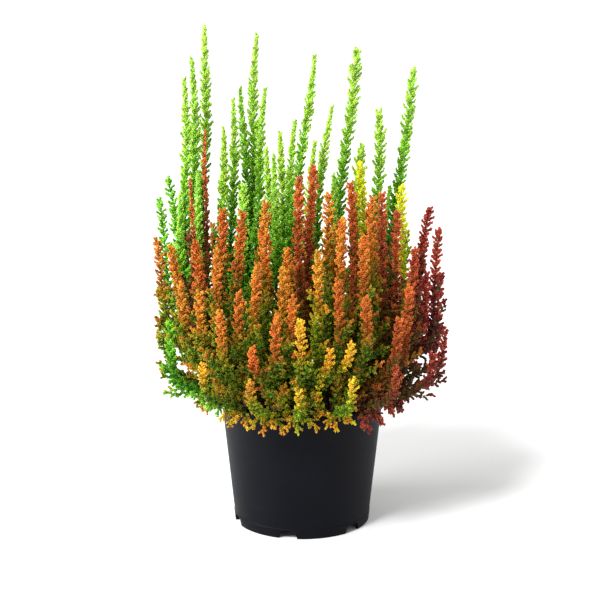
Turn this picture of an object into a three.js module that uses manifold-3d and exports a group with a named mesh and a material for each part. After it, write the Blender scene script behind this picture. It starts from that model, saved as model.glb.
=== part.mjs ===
import * as THREE from "three";
import { mergeVertices } from "three/addons/utils/BufferGeometryUtils.js";
import Module from "manifold-3d";

const wasm = await Module();
wasm.setup();

// Pot, in millimetres: a tapered nursery pot on a notched foot ring
const potHeight = 122;
const wallFootRadius = 62.4;
const wallRimRadius = 75.5;
const wallThickness = 1.5;
const lipRadius = 77.5;
const lipDepth = 9;
const lipRound = 1;
const footRingHeight = 9;
const footRingFlare = 0.9;
const footRingThickness = 2.4;
const basePlateHeight = 8;
const basePlateThickness = 1.6;
const potSegments = 32;

const notchCount = 6;
const notchWidth = 15;
const notchHeight = 7.6;
const notchDepth = 8;
const notchTurn = -12; // degrees from the front to the nearest notch
const drainRadius = 4.5;
const drainCircle = 42;
const drainSides = 6;

// Peat, filled to a little under the rim
const soilTop = 113;
const soilGap = 0.3;
const holeDepth = 17;
const holeRadius = 1.95;
const holeSides = 5;

// Stems: straight in their holes, bare inside the pot's mouth and below the skirt of short sprigs
const stemRadius = 1.25;
const stemFoot = soilTop - holeDepth + 1;
const rootLength = 18;
const stemTurn = THREE.MathUtils.degToRad(120);
const bendStep = 4.6;
const leafFrom = 142;
const skirtTop = 150;
const forkHeight = 124;
const forkLength = 60;

// Side shoots: the least that stands out of a stem, and the room that each leaves its neighbours
const leafRadiusLeast = 2.1;
const shootTurn = THREE.MathUtils.degToRad(132);
const shootLift = 0.8;
const tipBluntness = 0.04;
const tipTaper = 6;
const sliverSize = 0.05;
const coreShare = 0.46;
const coarseStep = 12.5;
const leafEdge = { from: 60, to: 105 };
const shareOfGap = 0.44;
const shareAmongOwn = 0.7;
const stemClearance = 2.4;
const potClearance = 0.6;

// A lane's distance from the middle is squeezed to rootShare of it at the roots
const rootShare = 0.4;
const flarePower = 2.4;
const upright = { start: 120, heightMiddle: 130, heightEdge: 70, edge: 127 };
const overRim = { start: 119, heightMiddle: 38, heightEdge: 38, edge: 127 };
const outwardLean = 0.04;
const leanLength = 150;
const waveSize = 1.5;
const waveLength = 26;
const waveRise = 60;
const routeStep = 4;

// Habits: widest half-width, tapering length at the tip, height above which shoots stand close, their step
const habits = {
  tall: { width: 5.6, taper: 42, fineFrom: 235, step: 8.6 },
  broad: { width: 7, taper: 40, fineFrom: 225, step: 8.6 },
  bushy: { width: 6.2, taper: 18, fineFrom: 190, step: 7.2 },
  thin: { width: 4, taper: 30, fineFrom: 225, step: 7 },
  low: { width: 6.8, taper: 14, fineFrom: 126, step: 6.6 },
  sprig: { width: 8, taper: 8, fineFrom: 100, step: 4 },
};

// Upright sprays: a colour, a habit, and for each spike its tip's x, y and z and its lean to +x per 100 mm
const uprightSprays = [
  ["green", "tall", [-88, 60, 458, 3], [-100, 45, 428, 0], [-107, 25, 413, 0]],
  ["green", "tall", [-63, 45, 390, 2], [-73, 28, 367, 0]],
  ["green", "tall", [-42, 70, 447, 4], [-56, 66, 397, -4]],
  ["green", "tall", [-33, 48, 400, 9], [-19, 40, 360, 0]],
  ["green", "tall", [-6, 10, 376, 6], [-24, -5, 349, 0], [-31, 14, 350, -3]],
  ["green", "tall", [11, 50, 430, 13], [26, 20, 388, 13], [12, 3, 360, 8]],
  ["green", "broad", [52, 60, 434, 14], [54, 26, 350, 5]],
  ["green", "tall", [104, 50, 416, 16], [70, 30, 382, 0]],
  ["green", "tall", [-113, 8, 309, -5], [-96, 4, 330, 0]],
  ["green", "tall", [28, -6, 330, 4]],
  ["green", "tall", [-60, 92, 300, -4], [-38, 98, 275, 0]],
  ["green", "tall", [-12, 92, 315, 0], [8, 104, 285, 2]],
  ["green", "tall", [34, 96, 305, 4], [56, 94, 325, 8]],
  ["green", "tall", [84, 80, 300, 8], [76, 96, 262, 6]],
  ["green", "tall", [-98, 80, 296, -6], [-114, 62, 262, -8]],
  ["green", "bushy", [-54, -12, 322, 0]],
  ["red", "bushy", [112, 26, 262, 10], [108, 50, 238, 8]],
  ["orange", "bushy", [-86, 86, 262, -6], [-70, 100, 232, -4]],
  ["orange", "bushy", [52, 110, 240, 4], [34, 116, 214, 2]],
  ["red", "bushy", [-18, 116, 246, -2], [4, 120, 222, 0]],
  ["red", "bushy", [9, -20, 341, 3], [-4, -35, 334, -3]],
  ["orange", "bushy", [22, -37, 319, -2], [33, -25, 292, 2]],
  ["gold", "bushy", [53, -4, 339, -3]],
  ["red", "bushy", [45, -22, 326, -1], [62, -12, 300, 2]],
  ["gold", "bushy", [92, -2, 319, 0]],
  ["red", "bushy", [73, -33, 318, 0], [87, -28, 300, 4]],
  ["orange", "bushy", [37, -60, 300, 2], [62, -47, 319, -3], [56, -66, 287, 0]],
  ["orange", "bushy", [-34, -26, 310, 0]],
  ["orange", "bushy", [-55, -50, 304, 5], [-73, -27, 302, 0]],
  ["red", "thin", [-87, 12, 368, 2], [-100, -20, 330, 0]],
  ["orange", "bushy", [-34, -56, 297, 0], [-14, -56, 272, 0]],
  ["orange", "bushy", [-94, -55, 280, -4], [-110, -52, 240, -6], [-118, -30, 269, -12]],
  ["red", "bushy", [118, 5, 296, 19], [126, -15, 281, 10]],
  ["red", "bushy", [103, -43, 270, 8], [115, -28, 244, 10]],
  ["orange", "bushy", [-76, -80, 279, -2], [-90, -74, 238, -4], [-71, -99, 226, -2]],
  ["orange", "bushy", [-41, -84, 265, 2], [-56, -82, 240, 0]],
  ["orange", "bushy", [13, -80, 276, -1], [-18, -79, 260, 2], [-9, -94, 238, 2]],
  ["orange", "bushy", [-24, -104, 223, 1], [-45, -107, 196, -3]],
  ["gold", "bushy", [-2, -110, 222, 3], [24, -105, 194, 3], [42, -99, 197, 5]],
  ["orange", "bushy", [58, -84, 236, 2], [34, -82, 250, 2]],
  ["red", "bushy", [88, -74, 213, 8], [98, -58, 238, 8]],
];

// Sprays that lean out over the rim, outermost of all; each also carries short sprigs that hide the lip
const rimSprays = [
  ["gold", [-3, -127, 163, 0]],
  ["gold", [46, -119, 172, 8]],
  ["red", [86, -92, 174, 10]],
  ["red", [118, -58, 176, 12]],
  ["red", [129, -36, 192, 12]],
  ["red", [130, 12, 232, 10]],
  ["red", [112, 64, 206, 8]],
  ["green", [78, 100, 196, 6]],
  ["green", [34, 119, 205, 2]],
  ["green", [-14, 121, 184, 0]],
  ["orange", [-54, 114, 210, -4]],
  ["green", [-83, 99, 192, -6]],
  ["green", [-126, 50, 315, -18], [-133, 22, 301, -14]],
  ["orange", [-134, -18, 273, -14], [-127, -6, 226, -10]],
  ["green", [-120, -50, 205, -10]],
  ["gold", [-88, -94, 178, -6]],
  ["orange", [-46, -118, 168, -4]],
];

// The short sprigs: turn from their spray in degrees, how far out they reach, bend and tip heights
const sprigs = [
  { turn: -6, reach: 98, bend: 122, tip: 117 },
  { turn: 5, reach: 100, bend: 124, tip: 121 },
  { turn: 10.5, reach: 94, bend: 142, tip: 162 },
];
const sprigVariation = 4;
const sprigRise = 4;
const sprigKnee = { back: 11, turnShare: 0.35 };
const sprigBow = { back: 5, turnShare: 1 };
const sprigEndTurnShare = 1.1;

const colours = {
  green: 0x5fae2c,
  orange: 0xc9621f,
  red: 0x8c2a24,
  gold: 0xc4b52c,
};

// Geometry to solid and back; only the positions are kept
function toSolid(geometry) {
  const bare = geometry.clone();
  bare.deleteAttribute("normal");
  bare.deleteAttribute("uv");
  const merged = mergeVertices(bare, 1e-4);
  return new wasm.Manifold(
    new wasm.Mesh({
      numProp: 3,
      vertProperties: merged.attributes.position.array,
      triVerts: new Uint32Array(merged.index.array),
    }),
  );
}

function toGeometry(solid) {
  const mesh = solid.getMesh();
  const geometry = new THREE.BufferGeometry();
  geometry.setAttribute("position", new THREE.BufferAttribute(mesh.vertProperties, 3));
  geometry.setIndex(new THREE.BufferAttribute(mesh.triVerts, 1));
  return geometry;
}

function makeMesh(name, geometry, color, roughness) {
  const flat = geometry.toNonIndexed();
  flat.computeVertexNormals();
  const material = new THREE.MeshStandardMaterial({ color, roughness, metalness: 0 });
  const mesh = new THREE.Mesh(flat, material);
  mesh.name = name;
  return mesh;
}

function lathe(points, segments) {
  const profile = points.map(([radius, height]) => new THREE.Vector2(radius, height));
  return new THREE.LatheGeometry(profile, segments).rotateX(Math.PI / 2);
}

function wallRadius(height) {
  return wallFootRadius + ((wallRimRadius - wallFootRadius) * height) / potHeight;
}

// Pot

function makePot() {
  const lipFoot = potHeight - lipDepth;
  const floor = basePlateHeight + basePlateThickness;
  const footRadius = wallRadius(0) + footRingFlare;
  const footTopRadius = wallRadius(footRingHeight) + footRingFlare;
  const profile = [
    [0, basePlateHeight],
    [footTopRadius - footRingThickness, basePlateHeight],
    [footRadius - footRingThickness, 0],
    [footRadius, 0],
    [footTopRadius, footRingHeight],
    [wallRadius(footRingHeight + footRingFlare), footRingHeight + footRingFlare],
    [wallRadius(lipFoot), lipFoot],
    [lipRadius - lipRound / 2, lipFoot],
    [lipRadius, lipFoot + lipRound],
    [lipRadius, potHeight - lipRound],
    [lipRadius - lipRound, potHeight],
    [wallRimRadius - wallThickness, potHeight],
    [wallRadius(floor) - wallThickness, floor],
    [0, floor],
  ];
  let pot = toSolid(lathe(profile, potSegments));
  for (let i = 0; i < notchCount; i += 1) {
    const turn = THREE.MathUtils.degToRad(notchTurn + (i * 360) / notchCount);
    const notch = new THREE.BoxGeometry(notchWidth, 2 * notchDepth, 2 * notchHeight);
    notch.translate(0, -footRadius, 0);
    const drain = new THREE.CylinderGeometry(drainRadius, drainRadius, floor * 3, drainSides);
    drain.rotateX(Math.PI / 2).translate(0, -drainCircle, 0);
    pot = pot.subtract(toSolid(notch.rotateZ(turn)));
    pot = pot.subtract(toSolid(drain.rotateZ(turn)));
  }
  return makeMesh("pot", toGeometry(pot), 0x1c1d21, 0.55);
}

// Peat, with a blind hole for each stem

function makeSoil(roots) {
  const foot = basePlateHeight + basePlateThickness + soilGap;
  const edge = wallThickness + soilGap;
  const profile = [
    [0, foot],
    [wallRadius(foot) - edge, foot],
    [wallRadius(soilTop) - edge, soilTop],
    [0, soilTop],
  ];
  let soil = toSolid(lathe(profile, potSegments));
  for (const root of roots) {
    const hole = new THREE.CylinderGeometry(holeRadius, holeRadius, 2 * holeDepth, holeSides);
    hole.rotateX(Math.PI / 2).translate(root.x, root.y, soilTop);
    soil = soil.subtract(toSolid(hole));
  }
  return makeMesh("soil", toGeometry(soil), 0x2b1d14, 1);
}

// Routes: where each spike's stem runs

function smooth(share) {
  const t = THREE.MathUtils.clamp(share, 0, 1);
  return t * t * (3 - 2 * t);
}

function onLane([tipX, tipY, tipZ, lean], height, flare, phase) {
  const z = Math.max(height, flare.start);
  const below = (leanLength * Math.tanh((tipZ - z) / leanLength)) / 100;
  const edgeShare = Math.min(Math.hypot(tipX, tipY) / flare.edge, 1) ** 2;
  const flareHeight = THREE.MathUtils.lerp(flare.heightMiddle, flare.heightEdge, edgeShare);
  const t = Math.min((z - flare.start) / flareHeight, 1);
  const share = rootShare + (1 - rootShare) * (1 - (1 - t) ** flarePower);
  const wave = waveSize * smooth((z - flare.start) / waveRise);
  return new THREE.Vector3(
    (tipX - lean * below) * share + wave * Math.sin(z / waveLength + phase),
    tipY * (1 - outwardLean * below) * share + wave * Math.cos(z / waveLength + 2 * phase),
    height,
  );
}

function spikeRoute(spike, main, flare, number) {
  const isMain = spike === main;
  const tip = spike[2];
  const foot = isMain ? stemFoot : forkHeight;
  const count = Math.ceil((tip - foot) / routeStep);
  const points = [];
  for (let i = 0; i <= count; i += 1) {
    const z = foot + ((tip - foot) * i) / count;
    const own = onLane(spike, z, flare, number);
    const parent = onLane(main, z, flare, number);
    points.push(isMain ? own : parent.lerp(own, smooth((z - forkHeight) / forkLength)));
  }
  return new THREE.CatmullRomCurve3(points, false, "centripetal");
}

// A short sprig that leaves its spray's stem just past the lip and lies or stands beside the rim
function sprigRoute(main, flare, sprig, number) {
  const start = onLane(main, forkHeight + 1, flare, number);
  const angle = Math.atan2(start.y, start.x);
  const turn = THREE.MathUtils.degToRad(sprig.turn);
  const rise = sprigVariation * Math.sin(shootTurn * number);
  const around = (radius, share, z) => {
    const direction = angle + share * turn;
    return new THREE.Vector3(radius * Math.cos(direction), radius * Math.sin(direction), z);
  };
  return new THREE.CubicBezierCurve3(
    start,
    around(sprig.reach - sprigKnee.back, sprigKnee.turnShare, forkHeight + sprigRise),
    around(sprig.reach - sprigBow.back, sprigBow.turnShare, sprig.bend + rise / 2),
    around(sprig.reach, sprigEndTurnShare, sprig.tip + rise),
  );
}

// All the shoots of the plant, each with its route sampled for the distances between them

function listShoots() {
  const shoots = [];
  const add = (spray, kind, curve, carrier) => {
    const length = curve.getLength();
    const samples = curve.getSpacedPoints(Math.ceil(length / routeStep));
    const bare = samples.map((point) => isBare(kind, point));
    shoots.push({ spray, kind, curve, carrier, length, samples, bare });
  };
  let spray = 0;
  for (const [, kind, ...spikes] of uprightSprays) {
    spikes.forEach((spike, i) => add(spray, kind, spikeRoute(spike, spikes[0], upright, spray), i === 0));
    spray += 1;
  }
  for (const [, ...spikes] of rimSprays) {
    spikes.forEach((spike, i) => add(spray, "low", spikeRoute(spike, spikes[0], overRim, spray), i === 0));
    for (const sprig of sprigs) add(spray, "sprig", sprigRoute(spikes[0], overRim, sprig, spray), false);
    spray += 1;
  }
  return shoots;
}

function isBare(kind, point) {
  const inPot = Math.hypot(point.x, point.y) < lipRadius;
  const low = kind === "low" || kind === "sprig";
  return point.z < (low ? leafFrom : skirtTop) && (inPot || !low);
}

function clearOfPot(point) {
  const radius = Math.hypot(point.x, point.y);
  const inside = wallRimRadius - wallThickness - radius;
  const outside = radius - lipRadius;
  const above = Math.max(point.z - potHeight, 0);
  return Math.hypot(Math.max(inside, outside, 0), above) - potClearance;
}

// The room that a shoot has at a point: its share of the gap to a leafy neighbour, or up to a bare stem
function roomAt(point, shoot, shoots) {
  let room = clearOfPot(point);
  for (const other of shoots) {
    if (other === shoot) continue;
    const share = other.spray === shoot.spray ? shareAmongOwn : shareOfGap;
    other.samples.forEach((sample, i) => {
      const gap = point.distanceTo(sample);
      room = Math.min(room, other.bare[i] ? gap - stemClearance : gap * share);
    });
  }
  return room;
}

// One shoot: corners climb its stem in a spiral, three to a turn, and each face is raised to a point

function shootGeometry(shoot, shoots) {
  const { curve, length, kind, carrier } = shoot;
  const habit = habits[kind];
  const end = curve.getPoint(1);
  const endRadius = Math.hypot(end.x, end.y);
  const sideways = new THREE.Vector3(-end.y / endRadius, end.x / endRadius, 0);
  const edgeShare = smooth((endRadius - leafEdge.from) / (leafEdge.to - leafEdge.from));
  const fineFrom = THREE.MathUtils.lerp(habit.fineFrom, habits.low.fineFrom, edgeShare);

  function place(distance, radius, angle) {
    const at = Math.min(distance / length, 1);
    const along = curve.getTangentAt(at);
    const across = sideways.clone().addScaledVector(along, -along.dot(sideways)).normalize();
    const third = along.clone().cross(across);
    const point = curve.getPointAt(at);
    point.addScaledVector(across, radius * Math.cos(angle));
    return point.addScaledVector(third, radius * Math.sin(angle));
  }

  function leafRadius(distance) {
    const point = curve.getPointAt(Math.min(distance / length, 1));
    if (isBare(kind, point)) return 0;
    const left = length - distance;
    const taper = Math.sqrt(Math.min(left / habit.taper + tipBluntness, 1));
    const radius = Math.min(habit.width * taper, roomAt(point, shoot, shoots));
    return radius < leafRadiusLeast && left > habit.taper ? 0 : radius;
  }

  // Stations up the spiral, three to a turn; a root is straight while it stands in its hole
  const stations = [];
  const stand = (distance, angle) => {
    const leaf = leafRadius(distance);
    const stem = Math.min(stemRadius, (length - distance) / tipTaper);
    stations.push({ distance, angle, leaf, core: Math.max(leaf * coreShare, stem) });
  };
  for (let i = 0; i < 3; i += 1) stand(0, i * stemTurn);
  if (carrier) for (let i = 3; i < 7; i += 1) stand(rootLength + i / 3, i * stemTurn);
  let distance = (carrier ? rootLength : 0) + bendStep;
  let angle = stations.length * stemTurn;
  while (distance < length - habit.step / 2) {
    stand(distance, angle);
    const leafy = stations[stations.length - 1].leaf > 0;
    const height = curve.getPointAt(distance / length).z;
    const coarse = height < leafFrom ? Math.min(bendStep, habit.step) : coarseStep;
    distance += leafy && height > fineFrom ? habit.step : coarse;
    angle += leafy ? shootTurn : stemTurn;
  }
  const points = stations.map((station) => place(station.distance, station.core, station.angle));
  const faces = [0, 3, 2, 0, 2, 1];
  const last = stations.length - 4;
  for (let n = 0; n < last; n += 1) {
    const ring = [n, n + 1, n + 4, n + 3];
    const [low, , high, side] = ring.map((corner) => stations[corner]);
    if (low.leaf > 0 && side.leaf > 0) {
      const reach = THREE.MathUtils.lerp(low.distance, high.distance, shootLift);
      const middle = (low.angle + high.angle) / 2 - Math.PI;
      ring.forEach((corner, i) => faces.push(corner, ring[(i + 1) % 4], points.length));
      points.push(place(reach, Math.min(side.leaf, leafRadius(reach)), middle));
    } else {
      faces.push(ring[0], ring[1], ring[2], ring[0], ring[2], ring[3]);
    }
  }
  for (let i = 0; i < 4; i += 1) faces.push(last + i, last + ((i + 1) % 4), points.length);
  points.push(end);
  return new THREE.BufferGeometry().setFromPoints(points).setIndex(faces);
}

// A spray is its shoots fused; slivers are smoothed away, and a hollow that the fusing seals is filled

function fuse(solids) {
  const whole = solids.reduce((body, solid) => body.add(solid));
  const bodies = whole.simplify(sliverSize).decompose();
  return bodies.reduce((most, body) => (body.volume() > most.volume() ? body : most));
}

const shoots = listShoots();
const roots = shoots.filter((shoot) => shoot.carrier).map((shoot) => shoot.curve.getPoint(0));
const numbers = {};
const heather = new THREE.Group();
heather.name = "potted_heather";
heather.add(makePot(), makeSoil(roots));

[...uprightSprays, ...rimSprays].forEach(([colour], spray) => {
  const place = spray < uprightSprays.length ? "spray" : "rim_spray";
  const kind = `${colour}_${place}`;
  numbers[kind] = (numbers[kind] || 0) + 1;
  const name = `${kind}_${String(numbers[kind]).padStart(2, "0")}`;
  const own = shoots.filter((shoot) => shoot.spray === spray);
  const solids = own.map((shoot) => toSolid(shootGeometry(shoot, shoots)));
  heather.add(makeMesh(name, toGeometry(fuse(solids)), colours[colour], 0.8));
});

export default heather;
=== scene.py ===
import math
import random

import bmesh
import bpy
from mathutils import Matrix, Vector, geometry, noise


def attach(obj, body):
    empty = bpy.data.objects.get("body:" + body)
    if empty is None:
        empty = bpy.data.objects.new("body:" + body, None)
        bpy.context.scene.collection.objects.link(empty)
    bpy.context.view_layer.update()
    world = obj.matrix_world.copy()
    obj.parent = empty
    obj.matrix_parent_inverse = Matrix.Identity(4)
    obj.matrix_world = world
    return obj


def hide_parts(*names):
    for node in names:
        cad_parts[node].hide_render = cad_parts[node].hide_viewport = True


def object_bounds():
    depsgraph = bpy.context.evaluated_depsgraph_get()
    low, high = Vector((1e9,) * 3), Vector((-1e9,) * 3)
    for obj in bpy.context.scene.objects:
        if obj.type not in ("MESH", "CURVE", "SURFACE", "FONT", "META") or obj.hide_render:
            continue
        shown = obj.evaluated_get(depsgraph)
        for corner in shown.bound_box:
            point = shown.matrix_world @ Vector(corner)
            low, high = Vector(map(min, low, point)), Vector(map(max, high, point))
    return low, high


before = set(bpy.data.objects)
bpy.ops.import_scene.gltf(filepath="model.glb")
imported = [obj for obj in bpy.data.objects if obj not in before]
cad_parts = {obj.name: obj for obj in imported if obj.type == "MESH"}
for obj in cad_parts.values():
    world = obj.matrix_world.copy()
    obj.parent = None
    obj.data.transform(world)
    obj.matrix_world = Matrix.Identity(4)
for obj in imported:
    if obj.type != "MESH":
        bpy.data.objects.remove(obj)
cadLow, cadHigh = [list(corner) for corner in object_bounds()]
print("frame loaded:", len(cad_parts), "nodes")

# Sizes are millimetres while a piece is built, and metres in its finished mesh
mm = 0.001
goldenTurn = math.radians(137.5)


def smooth(share):
    t = min(max(share, 0), 1)
    return t * t * (3 - 2 * t)


def mix(low, high, share):
    return low + (high - low) * share


def newObject(name, data):
    thing = bpy.data.objects.new(name, data)
    bpy.context.collection.objects.link(thing)
    return thing


def finishedMesh(bm, name):
    # back from millimetres, into a mesh
    bmesh.ops.scale(bm, vec=(mm, mm, mm), verts=bm.verts)
    mesh = bpy.data.meshes.new(name)
    bm.to_mesh(mesh)
    bm.free()
    return mesh


# Camera, at the photograph's angle
view = {"place": (-0.0019, -2.2, 0.8117), "downwards": 15.27, "lens": 148.47, "sensor": 36}

cameraData = bpy.data.cameras.new("camera")
cameraData.lens = view["lens"]
cameraData.sensor_width = view["sensor"]
cameraData.clip_end = 100
camera = newObject("camera", cameraData)
camera.location = view["place"]
camera.rotation_euler = (math.radians(90 - view["downwards"]), 0, 0)
bpy.context.scene.camera = camera


# Node groups
def newGroup(name, inputs, outputs):
    group = bpy.data.node_groups.new(name, "ShaderNodeTree")
    for label, kind, value in inputs:
        socket = group.interface.new_socket(label, in_out="INPUT", socket_type=kind)
        socket.default_value = value
    for label, kind in outputs:
        group.interface.new_socket(label, in_out="OUTPUT", socket_type=kind)
    return group, group.nodes.new("NodeGroupInput"), group.nodes.new("NodeGroupOutput")


def feed(tree, value, socket):
    # a number is set on the socket, and anything else is linked to it
    if isinstance(value, (int, float)):
        socket.default_value = value
    else:
        tree.links.new(value, socket)


def calculate(tree, operation, *values):
    node = tree.nodes.new("ShaderNodeMath")
    node.operation = operation
    for socket, value in zip(node.inputs, values):
        feed(tree, value, socket)
    return node.outputs[0]


def attribute(tree, name):
    node = tree.nodes.new("ShaderNodeAttribute")
    node.attribute_name = name
    return node.outputs["Fac"]


def noiseOn(tree, scale, detail, roughness=0.5):
    place = tree.nodes.new("ShaderNodeTexCoord")
    node = tree.nodes.new("ShaderNodeTexNoise")
    node.inputs["Detail"].default_value = detail
    node.inputs["Roughness"].default_value = roughness
    tree.links.new(place.outputs["Object"], node.inputs["Vector"])
    feed(tree, scale, node.inputs["Scale"])
    return node.outputs["Fac"]


# Leaves vary in patches over the plant and by a fine grain
leafVaried = {
    "patchScale": 260.0,
    "fineScale": 1100.0,
    "pointLevel": 0.4,
    "tint": (1.2, 0.65),  # light gained with the leaf's own tint, and the least
    "fine": (1.2, 0.5),  # light gained with the fine grain, and the least
}


def makeLeafTone():
    # how ripe in colour a point of the foliage is, and how light, with painted shade at the leaf bases
    group, given, out = newGroup(
        "leaf tone",
        [
            ("Tip Ripeness", "NodeSocketFloat", 0.12),
            ("Patches", "NodeSocketFloat", 0.25),
            ("Base Shade", "NodeSocketFloat", 0.45),
        ],
        [("Tone", "NodeSocketFloat"), ("Light", "NodeSocketFloat")],
    )
    ripeness = attribute(group, "ripeness")
    point = attribute(group, "point")
    tint = attribute(group, "tint")
    patches = noiseOn(group, leafVaried["patchScale"], detail=3.0)
    fine = noiseOn(group, leafVaried["fineScale"], detail=2.0)
    aboveMean = calculate(group, "SUBTRACT", patches, 0.5)
    patchy = calculate(group, "MULTIPLY", aboveMean, given.outputs["Patches"])
    nearPoint = calculate(group, "SUBTRACT", point, leafVaried["pointLevel"])
    tip = calculate(group, "MULTIPLY", nearPoint, given.outputs["Tip Ripeness"])
    tone = calculate(group, "ADD", ripeness, calculate(group, "ADD", patchy, tip))
    group.links.new(calculate(group, "MAXIMUM", tone, 0.0), out.inputs["Tone"])
    # Base Shade darkens each leaf towards its base: painted shade between the leaves
    base = calculate(group, "SUBTRACT", 1.0, given.outputs["Base Shade"])
    leaf = calculate(group, "MULTIPLY_ADD", point, given.outputs["Base Shade"], base)
    tinted = calculate(group, "MULTIPLY", leaf, calculate(group, "MULTIPLY_ADD", tint, *leafVaried["tint"]))
    light = calculate(group, "MULTIPLY", tinted, calculate(group, "MULTIPLY_ADD", fine, *leafVaried["fine"]))
    group.links.new(light, out.inputs["Light"])
    return group


def makeGrain():
    # fine grain over broad patches, as a mask and as a height
    group, given, out = newGroup(
        "grain",
        [
            ("Fine Scale", "NodeSocketFloat", 900.0),
            ("Broad Scale", "NodeSocketFloat", 30.0),
            ("Broad Share", "NodeSocketFloat", 0.5),
        ],
        [("Mask", "NodeSocketFloat"), ("Height", "NodeSocketFloat")],
    )
    fine = noiseOn(group, given.outputs["Fine Scale"], detail=6.0, roughness=0.6)
    broad = noiseOn(group, given.outputs["Broad Scale"], detail=3.0)
    less = calculate(group, "SUBTRACT", 1.0, given.outputs["Broad Share"])
    mask = calculate(
        group,
        "ADD",
        calculate(group, "MULTIPLY", fine, less),
        calculate(group, "MULTIPLY", broad, given.outputs["Broad Share"]),
    )
    group.links.new(mask, out.inputs["Mask"])
    group.links.new(fine, out.inputs["Height"])
    return group


leafTone = makeLeafTone()
grain = makeGrain()


def newMaterial(name):
    material = bpy.data.materials.new(name)
    material.use_nodes = True
    tree = material.node_tree
    return material, tree, tree.nodes["Principled BSDF"]


def placeGroup(tree, group, values):
    node = tree.nodes.new("ShaderNodeGroup")
    node.node_tree = group
    for label, value in values.items():
        node.inputs[label].default_value = value
    return node


def colourRamp(tree, factor, stops):
    node = tree.nodes.new("ShaderNodeValToRGB")
    elements = node.color_ramp.elements
    while len(elements) < len(stops):
        elements.new(0.5)
    for element, (place, colour) in zip(elements, stops):
        element.position = place
        element.color = (*colour, 1)
    tree.links.new(factor, node.inputs["Fac"])
    return node.outputs["Color"]


def mixColours(tree, factor, low, high):
    node = tree.nodes.new("ShaderNodeMix")
    node.data_type = "RGBA"
    tree.links.new(factor, node.inputs["Factor"])
    tree.links.new(low, node.inputs["A"])
    tree.links.new(high, node.inputs["B"])
    return node.outputs["Result"]


def bump(tree, height, distance, strength):
    node = tree.nodes.new("ShaderNodeBump")
    node.inputs["Distance"].default_value = distance
    node.inputs["Strength"].default_value = strength
    tree.links.new(height, node.inputs["Height"])
    return node.outputs["Normal"]


def makeGrained(name, look):
    # colours and bumps that follow the grain; roughness is one value, or a gain on the grain and a least
    material, tree, shader = newMaterial(name)
    marks = placeGroup(tree, grain, look["grain"])
    colour = colourRamp(tree, marks.outputs["Mask"], look["colours"])
    tree.links.new(colour, shader.inputs["Base Color"])
    tree.links.new(bump(tree, marks.outputs["Height"], **look["bump"]), shader.inputs["Normal"])
    if isinstance(look["roughness"], tuple):
        roughness = calculate(tree, "MULTIPLY_ADD", marks.outputs["Mask"], *look["roughness"])
    else:
        roughness = look["roughness"]
    feed(tree, roughness, shader.inputs["Roughness"])
    shader.inputs["Specular IOR Level"].default_value = look["specular"]
    return material


leafSurface = {"roughness": 0.55, "specular": 0.2}


def makeFoliage(name, cool, warm, tipRipeness, baseShade):
    # two runs of colour from the oldest leaves to the youngest, blended by each shoot's warmth
    material, tree, shader = newMaterial(name)
    tone = placeGroup(tree, leafTone, {"Tip Ripeness": tipRipeness, "Base Shade": baseShade})
    coolColour = colourRamp(tree, tone.outputs["Tone"], cool)
    warmColour = colourRamp(tree, tone.outputs["Tone"], warm)
    colour = mixColours(tree, attribute(tree, "warmth"), coolColour, warmColour)
    scaled = tree.nodes.new("ShaderNodeVectorMath")
    scaled.operation = "SCALE"
    tree.links.new(colour, scaled.inputs[0])
    tree.links.new(tone.outputs["Light"], scaled.inputs["Scale"])
    tree.links.new(scaled.outputs[0], shader.inputs["Base Color"])
    shader.inputs["Roughness"].default_value = leafSurface["roughness"]
    shader.inputs["Specular IOR Level"].default_value = leafSurface["specular"]
    return material


# Foliage colours, oldest leaves first; each colour of plant has a cool run and a warm one
# baseShade is how far painted shade darkens the leaf bases
foliageColours = {
    "green": {
        "cool": [
            (0.0, (0.014, 0.10, 0.008)),
            (0.3, (0.05, 0.30, 0.014)),
            (0.65, (0.18, 0.59, 0.024)),
            (1.0, (0.41, 0.83, 0.09)),
        ],
        "warm": [
            (0.0, (0.03, 0.16, 0.007)),
            (0.3, (0.12, 0.44, 0.010)),
            (0.65, (0.36, 0.73, 0.026)),
            (1.0, (0.66, 0.90, 0.10)),
        ],
        "tipRipeness": 0.34,
        "baseShade": 0.63,
    },
    "orange": {
        "cool": [
            (0.0, (0.014, 0.08, 0.007)),
            (0.25, (0.085, 0.23, 0.009)),
            (0.5, (0.27, 0.19, 0.010)),
            (0.75, (0.55, 0.095, 0.013)),
            (1.0, (0.80, 0.18, 0.026)),
        ],
        "warm": [
            (0.0, (0.03, 0.13, 0.007)),
            (0.25, (0.21, 0.38, 0.009)),
            (0.5, (0.52, 0.42, 0.010)),
            (0.75, (0.78, 0.29, 0.012)),
            (1.0, (0.88, 0.45, 0.04)),
        ],
        "tipRipeness": 0.4,
        "baseShade": 0.66,
    },
    "red": {
        "cool": [
            (0.0, (0.016, 0.05, 0.008)),
            (0.25, (0.075, 0.07, 0.010)),
            (0.5, (0.13, 0.020, 0.018)),
            (0.75, (0.23, 0.016, 0.028)),
            (1.0, (0.62, 0.08, 0.04)),
        ],
        "warm": [
            (0.0, (0.03, 0.10, 0.007)),
            (0.25, (0.17, 0.20, 0.010)),
            (0.5, (0.42, 0.18, 0.012)),
            (0.75, (0.68, 0.12, 0.014)),
            (1.0, (0.86, 0.25, 0.035)),
        ],
        "tipRipeness": 0.44,
        "baseShade": 0.64,
    },
    "gold": {
        "cool": [
            (0.0, (0.02, 0.12, 0.006)),
            (0.3, (0.20, 0.50, 0.006)),
            (0.65, (0.60, 0.84, 0.008)),
            (1.0, (0.90, 1.0, 0.03)),
        ],
        "warm": [
            (0.0, (0.014, 0.08, 0.006)),
            (0.3, (0.075, 0.19, 0.008)),
            (0.6, (0.38, 0.27, 0.010)),
            (0.8, (0.74, 0.27, 0.013)),
            (1.0, (0.96, 0.50, 0.035)),
        ],
        "tipRipeness": 0.34,
        "baseShade": 0.56,
    },
}
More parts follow.
